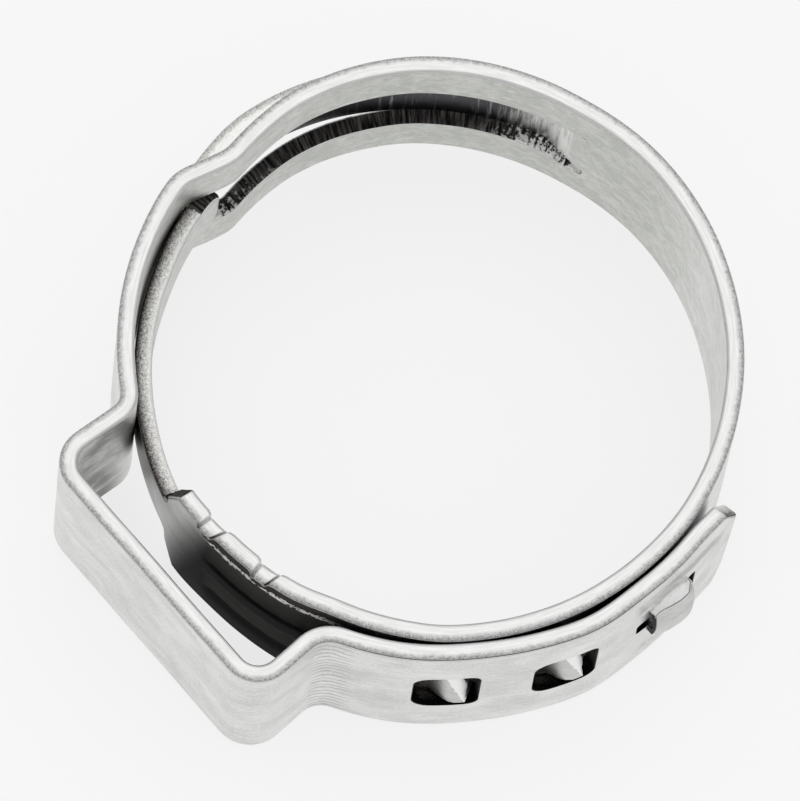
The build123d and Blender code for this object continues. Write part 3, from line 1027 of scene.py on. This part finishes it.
def sheared_steel():
    """Cut edges: the strip's long edges are bright inside, the stamped ones brown and torn."""
    m = Shader("sheared_steel")
    strip_place = m.place_on_strip()
    along, across, _ = m.split(strip_place)
    is_open, finish = m.openness_and_finish()
    depth = across - WALL_SHIFT
    long_edge = finish.between(0.9, 0.98)
    chatter = m.grain(m.stretched(strip_place, 5, 2), 1.0, 4, 0.6)
    speck = m.grain(strip_place, 16.0, 3, 0.7)
    grit = m.grain(strip_place, 8.0, 4, 0.7)
    streak = m.grain(m.stretched(strip_place, 0.9, 16), 1.0, 4, 0.6)

    # the long edges
    broken = (depth + (chatter - 0.5) * 0.20).between(0.04, 0.20)
    dotted = (speck * 0.4 + grit * 0.6 + (0.2 - depth) * 0.6).between(0.34, 0.60)
    grey = m.blend(dotted, RIM_PITTED, RIM_GREY)
    bright = m.blend(streak.between(0.3, 0.7), RIM_STREAKED, RIM_BRIGHT)
    edge = m.blend(broken, bright, grey)
    edge = m.blend(depth.between(0.255, 0.275) * within(along, RIM_LINE, 5), edge, BROWN)

    # the stamped ones: torn and dark outside, burnished towards the inside, with a painted highlight along
    # the inner corner
    light = 0.42 - depth * 1.1 + (grit - 0.5) * 0.7 + (speck - 0.5) * 0.7 + (finish - 0.45) * 1.5
    stamped = m.blend(light.between(0.1, 0.9), BROWN, STAMPED_LIGHT)
    stamped = m.blend(light.between(-0.35, 0.2), BLACK, stamped)
    lip = (depth + (chatter - 0.5) * 0.1).between(-0.25, -0.19)
    stamped = m.blend((1 - lip) * finish.between(0.1, 0.4), stamped, LIGHT)
    colour = m.blend(long_edge, stamped, edge)

    # the slot's rails: dark and scored across, with torn metal where the punch broke out painted with
    # white glints, and a painted highlight along the outer lip
    rail = finish.zone(0.12, 0.43, 0.02)
    tear = finish.between(0.17, 0.40)
    score = m.grain(m.stretched(strip_place, 6, 0.5), 1.0, 4, 0.7)
    colour = m.blend(rail, colour, m.blend(score.between(0.42, 0.66), BLACK, RAIL_GREY))
    burst = (chatter * 0.5 + grit * 0.5 + tear * 0.08 - depth * 0.20).between(0.57, 0.61)
    burst = burst * rail * tear
    outer_lip = depth.between(0.22, 0.27) * rail * (chatter + 0.1).between(0.4, 0.6)
    glint = m.node("ShaderNodeClamp", {}, burst + outer_lip)

    # painted shade: crevices are darkened by how open each place is
    shade = is_open.between(0.02, 0.5)
    colour = m.blend(shade, m.blend(0.04, BLACK, colour), colour)
    colour = m.blend(glint, colour, WHITE)
    frost = finish.zone(0.78, 0.92, 0.02)
    frosted_steel = m.blend(grit.between(0.30, 0.45), FROST_GREY, FROST_WHITE)
    colour = m.blend(frost, colour, m.blend(depth.between(0.23, 0.26), frosted_steel, LIP_GREY))
    rough = 0.30 + broken * 0.15 + speck * 0.1
    relief_node = m.node("ShaderNodeBump", {}, Strength=0.5, Distance=0.00004,
                         Height=speck * broken + chatter * 0.4 + grit * (1 - long_edge))
    return m.finish(rail * (1 - glint), Base_Color=colour, Metallic=1 - frost * 0.9 - glint * 0.5,
                    Roughness=rough, Normal=relief_node)


band = stamp()
band.data.materials.append(rolled_steel())
band.data.materials.append(sheared_steel())
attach(band, "root")
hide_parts("clamp_band")
print("triangles", sum(len(p.vertices) - 2 for p in band.data.polygons))


# --- the studio ---
EYE_AZIMUTH = 221.0          # where the camera stands, round the hose axis
EYE_ELEVATION = 70.81
EYE_ROLL = 9.136
EYE_DISTANCE = 0.400
EYE_LENS = 538.7
EYE_AIM = (0.000268, 0.001261, -0.000282)


def light(name, size, power, azimuth, elevation, distance):
    """A soft lamp that looks at the middle of the clamp."""
    data = bpy.data.lights.new(name, "AREA")
    data.shape, data.size, data.energy = "DISK", size, power
    lamp = bpy.data.objects.new(name, data)
    a, e = radians(azimuth), radians(elevation)
    lamp.location = Vector((sin(a) * cos(e), -cos(a) * cos(e), sin(e))) * distance
    lamp.rotation_euler = lamp.location.to_track_quat("Z", "Y").to_euler()
    bpy.context.scene.collection.objects.link(lamp)


def studio():
    """A pale floor, soft light all round and the camera."""
    scene = bpy.context.scene
    floor_level = cad_box[0][2]
    mesh = bpy.data.meshes.new("floor")
    corners = [(x, y, floor_level) for x, y in ((-1, -1), (1, -1), (1, 1), (-1, 1))]
    mesh.from_pydata(corners, [], [(0, 1, 2, 3)])
    floor = bpy.data.objects.new("floor", mesh)
    scene.collection.objects.link(floor)
    m = Shader("pale_floor")
    path = m.node("ShaderNodeLightPath")
    looks = m.node("ShaderNodeLightPath", output="Is Glossy Ray")
    through = m.node("ShaderNodeLightPath", output="Is Transmission Ray")
    seen = path.maths("MAXIMUM", path.maths("MAXIMUM", path, looks), through)
    matt = m.node("ShaderNodeBsdfDiffuse", {}, Color=(0.93, 0.93, 0.93, 1))
    plain = m.node("ShaderNodeEmission", {}, Color=(0.96, 0.96, 0.96, 1), Strength=1.0)
    surface = m.node("ShaderNodeMixShader", {}, seen * 0.8, matt, plain)
    m.node("ShaderNodeOutputMaterial", {}, surface)
    floor.data.materials.append(m.material)
    floor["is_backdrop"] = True

    world = bpy.data.worlds.new("room")
    world.use_nodes = True
    world.node_tree.nodes["Background"].inputs["Color"].default_value = (1, 1, 1, 1)
    world.node_tree.nodes["Background"].inputs["Strength"].default_value = 0.8
    scene.world = world
    light("overhead", 0.8, 1.25, 41, 74, 1.0)

    camera = bpy.data.objects.new("camera", bpy.data.cameras.new("camera"))
    camera.data.sensor_fit, camera.data.sensor_width, camera.data.lens = "HORIZONTAL", 36, EYE_LENS
    camera.data.clip_start = 0.01
    a, e = radians(EYE_AZIMUTH), radians(EYE_ELEVATION)
    towards = Vector((sin(a) * cos(e), -cos(a) * cos(e), sin(e)))
    camera.matrix_world = (Matrix.Translation(Vector(EYE_AIM) + towards * EYE_DISTANCE)
                           @ towards.to_track_quat("Z", "Y").to_matrix().to_4x4()
                           @ Matrix.Rotation(radians(EYE_ROLL), 4, "Z"))
    scene.collection.objects.link(camera)
    scene.camera = camera
    scene.view_settings.view_transform = "Standard"


studio()
lows_and_highs = [[list(corner) for corner in box] for box in (cad_box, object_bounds())]
